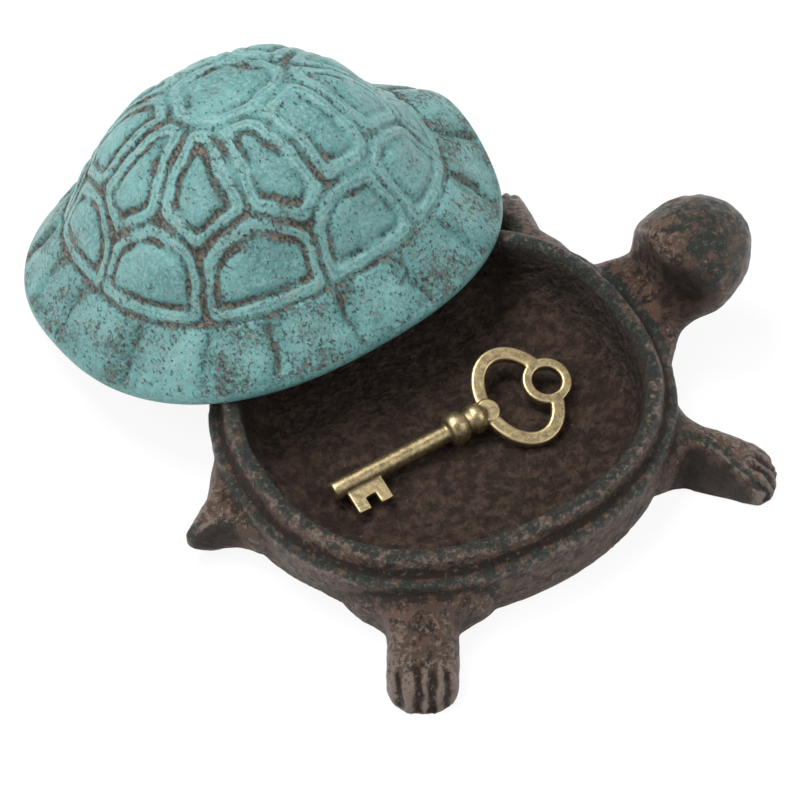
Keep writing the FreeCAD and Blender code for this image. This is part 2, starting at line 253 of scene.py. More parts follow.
def brassFinish():
    # Antiqued brass: dull flats, dark corners, edges bright from rubbing and from a painted highlight
    f = Finish("antiqueBrass")
    hollow, edge = (f.attribute(name) for name in ("hollow", "edge"))
    mottle = f.noise(brass["mottle"], 6, 0.68)
    grit = f.noise(brass["grit"], 4, 0.65)
    colour = f.layer(brass["mid"], mottle + 0.4 * grit, brass["rubbed"])
    # Edges lighter: partly rubbed wear, partly a painted highlight
    colour = f.layer(colour, edge + 0.3 * mottle, brass["edges"])
    tarnish = f.step(hollow + 0.5 * mottle, *brass["tarnishFrom"])
    colour = f.mix(tarnish * brass["tarnishCover"], colour, brass["dark"])
    return f.close(Base_Color=colour, Metallic=0.95 - 0.45 * tarnish,
                   Roughness=0.30 + 0.18 * mottle + 0.2 * tarnish,
                   Normal=f.bump(grit + mottle * 0.8, brass["grain"]))


# Mesh helpers
def addPiece(name, form, finish, body, node):
    mesh = bpy.data.meshes.new(name)
    form.to_mesh(mesh)
    form.free()
    mesh.shade_smooth()
    mesh.materials.append(finish)
    piece = bpy.data.objects.new(name, mesh)
    bpy.context.scene.collection.objects.link(piece)
    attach(piece, body)
    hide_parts(node)


def relax(form, passes, verts=None):
    for _ in range(passes):
        bmesh.ops.smooth_vert(form, verts=verts or form.verts, factor=0.5, use_axis_x=True, use_axis_y=True,
                              use_axis_z=True)


def recast(form, voxel, passes):
    # Fuses the closed forms into one skin of even quads, with every joint softened as in a casting
    mesh = bpy.data.meshes.new("blank")
    form.to_mesh(mesh)
    form.free()
    blank = bpy.data.objects.new("blank", mesh)
    bpy.context.scene.collection.objects.link(blank)
    remesh = blank.modifiers.new("skin", "REMESH")
    remesh.mode = "VOXEL"
    remesh.voxel_size = voxel
    remesh.adaptivity = 0.0
    graph = bpy.context.evaluated_depsgraph_get()
    skin = bpy.data.meshes.new_from_object(blank.evaluated_get(graph))
    made = bmesh.new()
    made.from_mesh(skin)
    bpy.data.objects.remove(blank)
    bpy.data.meshes.remove(mesh)
    bpy.data.meshes.remove(skin)
    relax(made, passes)
    return made


def storeRelief(form, passes, depth):
    # Edges and hollows found by how far each point stands from a smoothed copy
    soft = form.copy()
    relax(soft, passes)
    soft.verts.ensure_lookup_table()
    form.verts.ensure_lookup_table()
    form.normal_update()
    edge = form.verts.layers.float.new("edge")
    hollow = form.verts.layers.float.new("hollow")
    for vert in form.verts:
        proud = (vert.co - soft.verts[vert.index].co).dot(vert.normal) / depth
        vert[edge] = max(0.0, min(1.0, proud))
        vert[hollow] = max(0.0, min(1.0, -proud))
    soft.free()


def joinForms(forms):
    whole = bmesh.new()
    for form in forms:
        mesh = bpy.data.meshes.new("part")
        form.to_mesh(mesh)
        form.free()
        whole.from_mesh(mesh)
        bpy.data.meshes.remove(mesh)
    return whole


def faceOut(form):
    bmesh.ops.recalc_face_normals(form, faces=form.faces)


def rounded(form, edges, radius):
    bmesh.ops.bevel(form, geom=edges, offset=radius, offset_type="OFFSET", segments=2, profile=0.5,
                    affect="EDGES", material=-1)


def spun(section, steps, axis):
    # Closed form that a section from axis to axis sweeps out
    form = bmesh.new()
    verts = [form.verts.new(point) for point in section]
    edges = [form.edges.new(pair) for pair in zip(verts, verts[1:])]
    bmesh.ops.spin(form, geom=verts + edges, cent=(0, 0, 0), axis=axis, angle=2 * math.pi, steps=steps,
                   use_merge=True, use_duplicate=False)
    bmesh.ops.remove_doubles(form, verts=form.verts, dist=1e-5)
    faceOut(form)
    return form


def skinned(rings):
    # Closed form over rings of points, bridged one to the next and filled at both ends
    form = bmesh.new()
    loops = []
    for ring in rings:
        verts = [form.verts.new(point) for point in ring]
        loops.append([form.edges.new(pair) for pair in zip(verts, verts[1:] + verts[:1])])
    for inner, outer in zip(loops, loops[1:]):
        bmesh.ops.bridge_loops(form, edges=inner + outer)
    bmesh.ops.holes_fill(form, edges=form.edges, sides=0)
    faceOut(form)
    return form


# Shell
shell = {
    "halfLength": 60.7, "halfWidth": 55.1, "squareness": 2.4, "wall": 3.4,
    "brimShare": 0.79, "rimShare": 0.975, "brimRise": 12.8, "domeHeight": 45.0,
    "domeFlatness": 3.5, "domeSlope": 1.4, "archRise": 10.0, "archSpread": 19.0, "archStart": 0.62,
    "across": 480, "domeStep": 0.56, "underStep": 2.4, "unrollSteps": 200,
    # Round of the rim from the outer face to the inner: share of the radius, and share of the wall
    "rim": ((0.985, 0.10), (0.9935, 0.22), (0.997, 0.36), (0.998, 0.5), (0.997, 0.64), (0.993, 0.8),
            (0.985, 0.93)),
    # Resting place off the tray
    "back": 13.6, "aside": 67.6, "up": 13.4188, "turn": 5.3, "lean": 13.0545, "leanBearing": -170.9,
    # Middles of the scutes seen from above, the crown's first, and the bearings of the brim's joints
    "scutes": ((1.1, 2.3),
               (-20.2, -17.8), (-4.5, -22.0), (10.0, -18.5), (26.5, -10.5), (30.5, 4.5),
               (22.1, 17.2), (5.1, 27.9), (-12.4, 26.9), (-25.1, 13.1), (-28.4, -2.6),
               (-38.8, -17.8), (-17.8, -36.0), (11.0, -39.5), (31.5, -29.0), (44.0, -9.0),
               (43.0, 14.0), (24.7, 36.1), (-3.0, 43.6), (-30.3, 32.9), (-42.6, 9.9)),
    "brimJoints": (-155, -135, -117, -94.5, -72, -52, -33, -14, 12, 32, 52, 71, 91, 110, 128, 146, 163, 179),
    "seam": 0.85, "seamDepth": 0.75, "innerGroove": 4.4, "innerHalf": 1.3, "innerDepth": 0.7,
    "bossRise": 0.3, "bossReach": 7.5, "corner": 0.8, "ridgeLines": (1.5, 3.1), "ridgeHalf": 0.9,
    "borderInset": 0.012, "scuteEnd": 0.01, "neighbours": 5,
    "jointHalf": 0.9, "jointDepth": 0.9, "plateBulge": 0.35, "plateTilt": 0.5, "borderLine": 0.45,
    # Unevenness: each amount has the size of its lumps beside it
    "waver": 0.9, "waverSize": 7.0, "tremor": 0.25, "tremorSize": 2.6, "uneven": 0.45, "unevenSize": 5.0,
    "bossUneven": 0.9, "bossSize": 11.0, "jointWander": 1.8, "cast": 0.13, "castFine": 1.6, "castBroad": 4.5,
    "castFade": 0.955,
    # Where the grooves are worn away: size, seed, what is left of them, and from where to where
    "seamWear": (8.0, 23, 0.40, -0.30, 0.15), "innerWear": (6.0, 17, 0.15, -0.35, 0.10),
}
shellMean = (shell["halfLength"] + shell["halfWidth"]) / 2


def oval(angle, halfLength, halfWidth, squareness):
    along = abs(math.cos(angle)) / halfLength
    across = abs(math.sin(angle)) / halfWidth
    return (along ** squareness + across ** squareness) ** (-1 / squareness)


def shellRadius(angle):
    return oval(angle, shell["halfLength"], shell["halfWidth"], shell["squareness"])


def domeProfile(share):
    if share >= shell["brimShare"]:
        return shell["brimRise"] * (1 - share) / (1 - shell["brimShare"])
    inner = share / shell["brimShare"]
    rise = shell["domeHeight"] - shell["brimRise"]
    return shell["brimRise"] + rise * (1 - inner ** shell["domeFlatness"]) ** shell["domeSlope"]


def archLift(angle, share):
    # The front of the brim arches up over the neck
    away = math.degrees(math.atan2(math.sin(angle), math.cos(angle))) / shell["archSpread"]
    return shell["archRise"] * math.exp(-away * away) * between(share, shell["archStart"], 1.0)


def shellPoint(angle, share, depth):
    # Millimetres in the shell's own frame, at a depth below the smooth outer face
    step = 0.004
    inner = max(share - step, 0.0)
    rise = domeProfile(inner) - domeProfile(share + step)
    run = (share + step - inner) * shellMean
    slant = math.hypot(run, rise)
    radius = (share - depth * rise / (slant * shellMean)) * shellRadius(angle)
    height = domeProfile(share) - depth * run / slant + archLift(angle, share)
    return polar(radius, angle, height)


def unrolled(share):
    # Length over the dome from the crown, as a share of the oval's radius
    steps = shell["unrollSteps"]
    length = 0.0
    for number in range(steps):
        low = share * number / steps
        high = share * (number + 1) / steps
        length += math.hypot(high - low, (domeProfile(low) - domeProfile(high)) / shellMean)
    return length


unrollTable = [unrolled(number / shell["unrollSteps"]) for number in range(shell["unrollSteps"] + 1)]


def unrollShare(share):
    place = share * shell["unrollSteps"]
    low = min(int(place), shell["unrollSteps"] - 1)
    first, second = unrollTable[low], unrollTable[low + 1]
    return first + (second - first) * (place - low)


def flatPlace(angle, share):
    # Place on the dome's skin laid flat
    reach = unrollShare(share) * shellRadius(angle)
    return Vector((reach * math.cos(angle), reach * math.sin(angle)))


def scuteMiddles():
    middles = []
    for x, y in shell["scutes"]:
        angle = math.atan2(y, x)
        middles.append(flatPlace(angle, math.hypot(x, y) / shellRadius(angle)))
    return middles


def scuteRelief(angle, share, middles):
    # Height over the smooth dome, and how far the place is a groove or a ridge
    spot = flatPlace(angle, share)
    wave = Vector((spot.x, spot.y, 0))
    broad, fine = shell["waverSize"], shell["tremorSize"]
    shift = Vector((lumps(wave, broad, 1), lumps(wave, broad, 9))) * shell["waver"]
    spot = spot + shift + Vector((lumps(wave, fine, 4), lumps(wave, fine, 6))) * shell["tremor"]
    ranked = sorted(((spot - middle).length_squared, number) for number, middle in enumerate(middles))
    nearest = middles[ranked[0][1]]
    end = unrollShare(shell["brimShare"] - shell["borderInset"])
    border = (end - unrollShare(share)) * shellRadius(angle)
    # Distance inside the scute: the least of those to its borders, with the corners rounded off
    near = math.exp(-(border + shell["seam"] * 0.5) / shell["corner"])
    for far, number in ranked[1:1 + shell["neighbours"]]:
        apart = (middles[number] - nearest).length
        near += math.exp((ranked[0][0] - far) / (2 * apart * shell["corner"]))
    inside = -shell["corner"] * math.log(near)
    uneven = 1 + shell["uneven"] * lumps(wave, shell["unevenSize"], 12)
    strength = 0.7 + 0.4 * uneven
    seam = 1 - between(inside, shell["seam"] * 0.25, shell["seam"] * 1.6 * uneven)
    seam *= patchy(wave, *shell["seamWear"])
    inner = hump(inside, shell["innerGroove"], shell["innerHalf"] * strength)
    inner *= patchy(wave, *shell["innerWear"])
    boss = between(inside, shell["innerGroove"] + 0.2, shell["bossReach"])
    height = -shell["seamDepth"] * seam * strength - shell["innerDepth"] * inner
    height += shell["bossRise"] * boss * (1 + shell["bossUneven"] * lumps(wave, shell["bossSize"], 20))
    band = max(hump(inside, line, shell["ridgeHalf"]) for line in shell["ridgeLines"]) * (0.5 + 0.5 * uneven)
    # Rust creeps out of the grooves, more in some parts
    spill = max(1 - inside / 3.0, hump(inside, shell["innerGroove"], 2.4), 0.0)
    rusty = 0.30 + 0.70 * between(lumps(wave, 15.0, 41) - spot.x / 70, -0.35, 0.35)
    return height, (max(seam, inner) * 0.6 + spill * 0.4) * rusty, max(band, 0.25 * boss)


def brimRelief(angle, share):
    # The same for the brim: its plates bulge and tilt between their joints
    wander = noise.noise(Vector((share * 14, math.degrees(angle) / 9, 1)))
    bearing = math.degrees(angle) + shell["jointWander"] * wander
    gaps = sorted((abs((bearing - joint + 180) % 360 - 180), joint) for joint in shell["brimJoints"])
    away, nearest = gaps[0]
    away *= math.pi / 180 * shellRadius(angle) * share
    side = (bearing - nearest + 180) % 360 - 180
    fade = between(share, shell["brimShare"] - 0.01, shell["brimShare"] + 0.03)
    worn = 1 - 0.75 * between(share, 0.92, 0.985)
    uneven = 0.75 + 0.5 * noise.noise(Vector((nearest, share * 6, 3)))
    joint = (1 - between(away, 0.2, shell["jointHalf"] * 1.8)) * fade * worn * uneven
    spot = polar(share, angle) * shellMean
    line = hump(share, shell["brimShare"] - 0.006, 0.022) * between(1 + lumps(spot, 9.0, 31), 0.5, 0.95)
    plate = between(away, 0.8, 5.0) * hump(share, 0.87, 0.1)
    tilt = math.copysign(1 - between(away, 0.3, 6.0), side) * math.sin(nearest * 7.0) * fade * worn
    height = shell["plateBulge"] * plate + shell["plateTilt"] * tilt
    height -= shell["jointDepth"] * joint + shell["borderLine"] * line
    spill = max(1 - away / 3.4, 0.0) * fade * 0.55
    cover = 0.30 + 0.22 * lumps(spot, 8.0, 37)
    return height, max(joint * 0.8, line * 0.8, spill, cover), plate * 0.6


def shellForm():
    # A flat round plate, one unit in radius and one thick, which castShell bends over the dome
    probe = 0.005
    shares = [0.0]
    while shares[-1] < shell["rimShare"]:
        slope = abs(domeProfile(shares[-1] + probe) - domeProfile(shares[-1])) / (probe * shellMean)
        further = shares[-1] + shell["domeStep"] / shellMean / math.hypot(1, slope)
        shares.append(min(shell["rimShare"], further))
    section = [(share, 0, 0) for share in shares]
    section += [(share, 0, -depth) for share, depth in shell["rim"]]
    under = [(0.0, 0, -1.0)]
    while under[-1][0] < shell["rimShare"]:
        under.append((min(shell["rimShare"], under[-1][0] + shell["underStep"] / shellMean), 0, -1.0))
    return spun(section + under[::-1], shell["across"], (0, 0, 1))


def castShell():
    form = shellForm()
    middles = scuteMiddles()
    grooveLayer = form.verts.layers.float.new("groove")
    ridgeLayer = form.verts.layers.float.new("ridge")
    bearing = math.radians(shell["leanBearing"])
    lean = Matrix.Rotation(math.radians(shell["lean"]), 4, Vector((math.cos(bearing), math.sin(bearing), 0)))
    place = Matrix.Translation((-shell["back"], shell["aside"], shell["up"])) @ lean
    place = place @ Matrix.Rotation(math.radians(shell["turn"]), 4, "Z")
    for vert in form.verts:
        angle, share = turned(vert.co)
        depth = -vert.co.z * shell["wall"]
        if vert.co.z > -0.05:
            if share < shell["brimShare"] - shell["scuteEnd"]:
                height, groove, ridge = scuteRelief(angle, share, middles)
            else:
                height, groove, ridge = brimRelief(angle, share)
            spot = polar(share, angle) * shellMean
            broad = lumps(spot, shell["castBroad"], 3)
            height += shell["cast"] * (lumps(spot, shell["castFine"], 2) + 1.6 * broad)
            depth -= height * (1 - between(share, shell["castFade"], shell["rimShare"]))
            vert[grooveLayer] = groove
            vert[ridgeLayer] = ridge
        vert.co = place @ shellPoint(angle, share, depth) * mm
    faceOut(form)
    return form


# Base
tray = {
    "halfLength": 48.0, "halfWidth": 42.4, "squareness": 2.3, "lipWidth": 4.6, "lipHeight": 5.0,
    "lipRound": 1.8, "ledgeEdge": 7.9, "ledgeHeight": 16.2, "lipTop": 21.2, "floor": 4.2, "corner": 9.0,
    "draft": 1.2, "across": 256, "voxel": 0.68 * mm, "passes": 3,
    # The section is spun round a hub, and its outer band then bent to the oval
    "blank": 50, "band": 14, "arcSteps": 8,
    # How far the wall's foot stands out by its bearing, the same on both sides
    "foot": ((0, 0), (50, 0), (88, 1.0), (118, 0.4), (132, -0.4), (152, -2.2), (170, -0.6), (180, 0)),
}
wallX = tray["halfLength"] + tray["ledgeEdge"]


def trayRadius(angle):
    return oval(angle, tray["halfLength"], tray["halfWidth"], tray["squareness"])


def trayOffset(point):
    # Millimetres outside the bowl's inner edge
    angle, reach = turned(point)
    return reach - trayRadius(angle)


def trayForm():
    # Section from the middle of the belly round the wall, ledge and lip to the middle of the floor
    edge = tray["ledgeEdge"]
    ledge = tray["ledgeHeight"]
    band = tray["band"]
    steps = tray["arcSteps"]
    section = [(-band, 0), (edge - 2.2, 0), (edge - 1.2, 0.2), (edge - 0.6, 0.8), (edge - 0.2, 1.9),
               (edge, 3.4), (edge + 0.3, ledge * 0.6), (edge, ledge - 0.9), (edge - 0.25, ledge - 0.3),
               (edge - 0.9, ledge), (edge - 2.4, ledge), (edge - 2.9, ledge + 0.1),
               (tray["lipWidth"] + 0.05, ledge + 0.6)]
    for number in range(1, steps + 1):
        turn = math.radians(90 * number / steps)
        section.append((tray["lipWidth"] - tray["lipRound"] * (1 - math.cos(turn)),
                        ledge + tray["lipHeight"] * math.sin(turn)))
    section += [(1.1, tray["lipTop"]), (0.45, tray["lipTop"] - 0.25), (0.1, tray["lipTop"] - 0.9)]
    for number in range(steps + 1):
        turn = math.radians(90 * (1 - number / steps))
        section.append((-tray["draft"] - tray["corner"] * (1 - math.sin(turn)),
                        tray["floor"] + tray["corner"] * (1 - math.cos(turn))))
    section.append((-band, tray["floor"]))
    blank = tray["blank"]
    points = [(0, 0, 0)] + [(blank + offset, 0, height) for offset, height in section]
    form = spun(points + [(0, 0, tray["floor"])], tray["across"], (0, 0, 1))
    for vert in form.verts:
        angle, reach = turned(vert.co)
        if reach > blank - band:
            foot = drawn(tray["foot"], abs(math.degrees(angle)))
            stand = foot * (1 - between(vert.co.z, 0, ledge - 1))
            radius = trayRadius(angle) + reach - blank + stand * between(reach - blank, 0, edge - 2)
        else:
            radius = (trayRadius(angle) - band) * reach / (blank - band)
        vert.co = polar(radius, angle, vert.co.z)
    return form


limb = {"sides": 40, "squareness": 2.6}


def crossRing(x, y, turn, width, low, high, shape=lambda side, height: (side, height)):
    # Rounded upright section across a limb. The shape moves its points from one side and height to another
    points = []
    middle = (low + high) / 2
    for number in range(limb["sides"]):
        angle = 2 * math.pi * number / limb["sides"]
        reach = oval(angle, width / 2, (high - low) / 2, limb["squareness"])
        side, height = shape(reach * math.cos(angle), middle + reach * math.sin(angle))
        points.append((x - side * math.sin(turn), y + side * math.cos(turn), height))
    return points


# The facet is the hind side of a front leg, cut back from a crest that runs to the foot's hind corner
legs = {
    "top": 13.0, "root": 6.0, "below": 3.0, "grooveHalf": 1.0, "toeDepth": 1.0,
    "rootRings": 14, "shinRings": 7, "toeRings": 7,
    # Width over its length: the flare dies out into the shin, and the nose rounds off the foot
    "shin": 1.03, "flareReach": 5.5, "rootSpread": 0.12, "noseEnd": 0.985, "noseRound": 2.5, "nosePower": 0.4,
    "crestRoot": 0.02, "crestFoot": 0.36, "crestStart": 6, "dent": 0.9,
    "heights": ((-0.25, 1.06), (0, 1.0), (0.17, 0.98), (0.38, 0.92), (0.54, 0.84), (0.71, 0.75), (0.83, 0.63),
                (0.92, 0.48), (0.97, 0.32), (1.0, 0.12)),
    "front": (
        {"bearing": -38, "turn": -45, "reach": 26.2, "width": 14.5, "flare": 1.5, "nose": 6.5, "facet": -1,
         "toes": (-4.6, -1.3, 1.9, 4.9)},
        {"bearing": 39, "turn": 79, "reach": 24.0, "width": 14.5, "flare": 1.5, "nose": 6.5, "facet": 1,
         "toes": (-4.9, -1.9, 1.3, 4.6)},
    ),
    "rear": (
        {"bearing": -125, "turn": -119.5, "reach": 24.0, "width": 16.4, "flare": 1.9, "nose": 7.5, "facet": 0,
         "toes": (-5.6, -1.0, 2.2, 5.8)},
        {"bearing": 125, "turn": 119.5, "reach": 24.0, "width": 16.4, "flare": 1.9, "nose": 7.5, "facet": 0,
         "toes": (-5.8, -2.2, 1.0, 5.6)},
    ),
}


def legStart(leg):
    bearing = math.radians(leg["bearing"])
    edge = trayRadius(bearing) + tray["ledgeEdge"]
    return Vector((edge * math.cos(bearing), edge * math.sin(bearing)))


def legWidth(leg, out):
    spread = (1 - min(1, out / legs["flareReach"])) ** 2.0 if out > 0 else 1 - legs["rootSpread"] * out
    width = leg["width"] * (legs["shin"] + (leg["flare"] - legs["shin"]) * spread)
    nose = max(0, (out - leg["reach"] + leg["nose"]) / leg["nose"])
    return width * (1 - min(legs["noseEnd"], nose) ** legs["noseRound"]) ** legs["nosePower"]


def legCrest(leg, out, width):
    # The crest's distance from a front leg's middle line
    rise = between(out, legs["crestStart"], leg["reach"] - 3)
    return width * (legs["crestRoot"] + legs["crestFoot"] * rise)


def legOuts(leg):
    # A leg's rings: close through the wall, wider along the shin, close over the toes
    root = legs["root"]
    shin = leg["reach"] - 2 * root
    outs = [-root + 2 * root * k / legs["rootRings"] for k in range(legs["rootRings"] + 1)]
    outs += [root + shin * k / legs["shinRings"] for k in range(1, legs["shinRings"])]
    quarter = [math.radians(90 * k / legs["toeRings"]) for k in range(legs["toeRings"] + 1)]
    return outs + [leg["reach"] - root + root * math.sin(turn) for turn in quarter]


def legForm(leg):
    start = legStart(leg)
    turn = math.radians(leg["turn"])
    rings = []
    for out in legOuts(leg):
        top = legs["top"] * drawn(legs["heights"], out / leg["reach"])
        width = legWidth(leg, out)
        crest = legCrest(leg, out, width)
        share = between(out, 0.5, 6) * (1 - between(out, leg["reach"] - 7, leg["reach"] - 3))

        def cutBack(side, height):
            # The hind side slopes down from the crest, slightly hollow
            hind = side * leg["facet"]
            limit = crest + (top - height) / (top / (width / 2 - crest + 0.4))
            dent = legs["dent"] * math.sin(math.pi * max(0.0, min(1.0, height / top)))
            if leg["facet"] and hind > limit - dent:
                hind = hind + (limit - dent - hind) * share
                side = hind * leg["facet"]
            return side, height

        x = start.x + out * math.cos(turn)
        y = start.y + out * math.sin(turn)
        rings.append(crossRing(x, y, turn, width, -legs["below"], top, cutBack))
    return skinned(rings)


head = {
    "forward": 13.1, "aside": 1.4, "height": 25.0, "halfLength": 17.7, "radius": 14.6, "taper": 0.03,
    "pitch": 22.0, "yaw": 7.5, "nape": (60.5, -2.5, 24.0), "napeReach": 14.5,
    # A ball's print between head and neck, pressed in along the line of sight of the photo's camera
    "hollow": (61.6, -7.6, 26.5), "hollowRadius": 8.4, "viewed": (-2.9, -5.1, 8.1), "hollowBlend": 4.5,
    "hollowShare": 0.8,
    # Room for the closed shell's rim
    "scoopClear": 0.8, "rimTop": 27.688, "rimDepth": 5.78, "scoopSlope": 0.45,
}


def scoopReach(angle, height):
    # Radius at which the head's back stands behind the closed shell's rim
    rimBottom = head["rimTop"] - head["rimDepth"]
    outer = shellRadius(angle) + head["scoopClear"]
    inner = trayRadius(angle) + tray["ledgeEdge"]
    rise = min(1.0, (height - tray["ledgeHeight"]) / (rimBottom - tray["ledgeHeight"]))
    lean = head["scoopSlope"] * max(0.0, height - head["rimTop"])
    return inner + (outer - inner) * rise - lean


def headForm():
    form = bmesh.new()
    bmesh.ops.create_uvsphere(form, u_segments=96, v_segments=72, radius=1)
    tilt = Matrix.Rotation(math.radians(head["yaw"]), 4, "Z")
    tilt = tilt @ Matrix.Rotation(math.radians(-head["pitch"]), 4, "Y")
    centre = Vector((wallX + head["forward"], head["aside"], head["height"]))
    hollow = Vector(head["hollow"])
    eye = hollow + Vector(head["viewed"])
    for vert in form.verts:
        # The sphere's pole runs along the egg
        along, left, up = vert.co.z, vert.co.x, vert.co.y
        girth = head["radius"] * (1 - head["taper"] * along)
        spot = centre + (tilt @ Vector((head["halfLength"] * along, girth * left, girth * up)))
        angle = math.atan2(spot.y, spot.x)
        if spot.z > tray["ledgeHeight"]:
            reach = scoopReach(angle, spot.z)
            if math.hypot(spot.x, spot.y) < reach:
                spot = polar(reach, angle, spot.z)
        gap = spot - hollow
        if gap.length < head["hollowRadius"]:
            # On along that line to the ball's far side
            line = (spot - eye).normalized()
            near = (eye - hollow).dot(line)
            inside = near ** 2 - (eye - hollow).length_squared + head["hollowRadius"] ** 2
            far = -near + math.sqrt(max(0.0, inside))
            deep = eye + line * max(far, (spot - eye).length)
            share = between(head["hollowRadius"] - gap.length, 0, head["hollowBlend"])
            spot = spot.lerp(deep, share * head["hollowShare"])
        vert.co = spot
    faceOut(form)
    return form


def neckForm():
    ledge = tray["ledgeHeight"]
    # Along the neck: forward, side, width, low and high
    stations = ((wallX - 8, 0, 44, 2.8, ledge - 0.5), (wallX - 1.2, 1.8, 37.6, 4.2, ledge - 0.1),
                (wallX + 1, 2.4, 33.8, 5.4, ledge + 1.6), (wallX + 2.6, 2.6, 31.2, 6.3, ledge + 2.8),
                (wallX + 5.24, 2.9, 26.4, 7, ledge + 5.6), (wallX + 10.5, 2.6, 20.0, 11.9, 25.0))
    form = skinned([crossRing(x, y, 0, width, low, high) for x, y, width, low, high in stations])
    bmesh.ops.subdivide_edges(form, edges=form.edges, cuts=3, use_grid_fill=True)
    hollow = Vector(head["hollow"])
    rimBottom = head["rimTop"] - head["rimDepth"]
    for vert in form.verts:
        angle = math.atan2(vert.co.y, vert.co.x)
        inner = trayRadius(angle) + tray["ledgeEdge"]
        out = (math.hypot(vert.co.x, vert.co.y) - inner) / (shellRadius(angle) + head["scoopClear"] - inner)
        if 0 < out < 1:
            vert.co.z = min(vert.co.z, ledge + (rimBottom - ledge) * out)
        apart = math.hypot(vert.co.x - hollow.x, vert.co.y - hollow.y)
        if apart < head["hollowRadius"]:
            vert.co.z = min(vert.co.z, hollow.z - math.sqrt(head["hollowRadius"] ** 2 - apart ** 2))
    return form


tail = {
    # Out from the wall, then side, width, low, high, and the half width of the flat top
    "stations": ((-7.0, 1.0, 34, 0.5, 14.3, 17), (0.0, 1.0, 26, 0.8, 14.3, 11),
                 (2.2, 0.9, 21, 1.0, 14.1, 7.2), (4.4, 0.8, 17, 1.2, 13.7, 4.8),
                 (6.6, 0.5, 14, 1.5, 12.8, 3.4), (8.8, 0.0, 11, 2.1, 11.9, 2.4),
                 (10.9, -0.6, 7.6, 3.0, 10.9, 1.7), (12.6, -0.9, 4.8, 4.0, 10.0, 1.2),
                 (13.7, -1.0, 2.6, 5.4, 9.2, 0.9)),
    "hollowness": 1.7,
}


def tailForm():
    rings = []
    for out, aside, width, low, high, flat in tail["stations"]:
        share = between(out, -1, 4)

        def cutBack(side, height):
            # The sides fall away from the flat top in hollow slopes
            drop = max(0.0, min(1.0, (high - height) / (high - low)))
            limit = flat + (width / 2 - flat) * drop ** tail["hollowness"]
            if abs(side) > limit:
                side = side + (math.copysign(limit, side) - side) * share
            return side, height

        rings.append(crossRing(-wallX - out, aside, math.pi, width, low, high, cutBack))
    return skinned(rings)


def legPlace(leg, spot):
    # Distance out along the leg and to its left, in millimetres
    gap = Vector((spot.x, spot.y)) - legStart(leg)
    turn = math.radians(leg["turn"])
    return (gap.x * math.cos(turn) + gap.y * math.sin(turn), gap.y * math.cos(turn) - gap.x * math.sin(turn))


def toeGroove(leg, out, side, height):
    front = between(out, leg["reach"] - 8.5, leg["reach"] - 5.0)
    wander = 0.35 * math.sin(height * 0.9 + side)
    return max(hump(side + wander, middle, legs["grooveHalf"] * 1.6) for middle in leg["toes"]) * front


skin = {
    # Joints are smoothed out to this offset from the bowl, the head all over
    "jointPasses": 24, "jointReach": 15, "headFrom": 55, "headTo": 33, "napePasses": 120,
    "reliefPasses": 14, "reliefDepth": 0.28 * mm,
    # Lumps of the casting: height, size and seed
    "allOver": ((0.18, 2.2, 3), (0.20, 6.5, 5)), "inBowl": (0.18, 1.9, 8),
    "onHead": ((0.28, 3.4, 11), (0.12, 1.8, 13)), "sink": 0.12,
}


def softenJoints(form):
    soft = []
    for vert in form.verts:
        spot = vert.co / mm
        offset = trayOffset(spot)
        near = offset < skin["jointReach"] or spot.x > skin["headFrom"]
        if near and offset > tray["ledgeEdge"] + 0.3 and 0.5 < spot.z < skin["headTo"]:
            soft.append(vert)
    relax(form, skin["jointPasses"], soft)
    nape = [vert for vert in form.verts if (vert.co / mm - Vector(head["nape"])).length < head["napeReach"]
            and trayOffset(vert.co / mm) > tray["ledgeEdge"]]
    relax(form, skin["napePasses"], nape)


def cutToes(form):
    form.normal_update()
    for vert in form.verts:
        spot = vert.co / mm
        dent = 0.0
        if trayOffset(spot) > tray["ledgeEdge"] + 4 and spot.z > 0.3:
            for leg in legs["front"] + legs["rear"]:
                out, side = legPlace(leg, spot)
                if 0 < out < leg["reach"] + 2 and abs(side) < leg["width"]:
                    dent = max(dent, legs["toeDepth"] * toeGroove(leg, out, side, spot.z))
        vert.co = vert.co - vert.normal * dent * mm
    relax(form, 1)


def paintBase(form):
    names = ("bowl", "green", "shade")
    layers = {name: form.verts.layers.float.new(name) for name in names}
    hollow = Vector(head["hollow"])
    for vert in form.verts:
        spot = vert.co / mm
        for name, value in zip(names, paintPlaces(spot, vert.normal, hollow)):
            vert[layers[name]] = value
    return layers["bowl"]


def roughened(spot, layers):
    return sum(height * lumps(spot, size, seed) for height, size, seed in layers)


def roughenBase(form, bowlLayer):
    height, size, seed = skin["inBowl"]
    for vert in form.verts:
        spot = vert.co / mm
        if spot.z > 1.0:
            onHead = between(spot.x, 62, 68) * between(spot.z, 14, 22)
            rough = roughened(spot, skin["allOver"]) + vert[bowlLayer] * height * lumps(spot, size, seed)
            rough += onHead * roughened(spot, skin["onHead"])
            vert.co = vert.co + vert.normal * (rough - skin["sink"]) * mm


def castBase():
    limbs = [legForm(leg) for leg in legs["front"] + legs["rear"]]
    whole = joinForms([trayForm(), headForm(), neckForm(), tailForm()] + limbs)
    for vert in whole.verts:
        vert.co.z = max(vert.co.z, 0)
    bmesh.ops.scale(whole, vec=(mm, mm, mm), verts=whole.verts)
    form = recast(whole, tray["voxel"], tray["passes"])
    softenJoints(form)
    cutToes(form)
    storeRelief(form, skin["reliefPasses"], skin["reliefDepth"])
    roughenBase(form, paintBase(form))
    return form


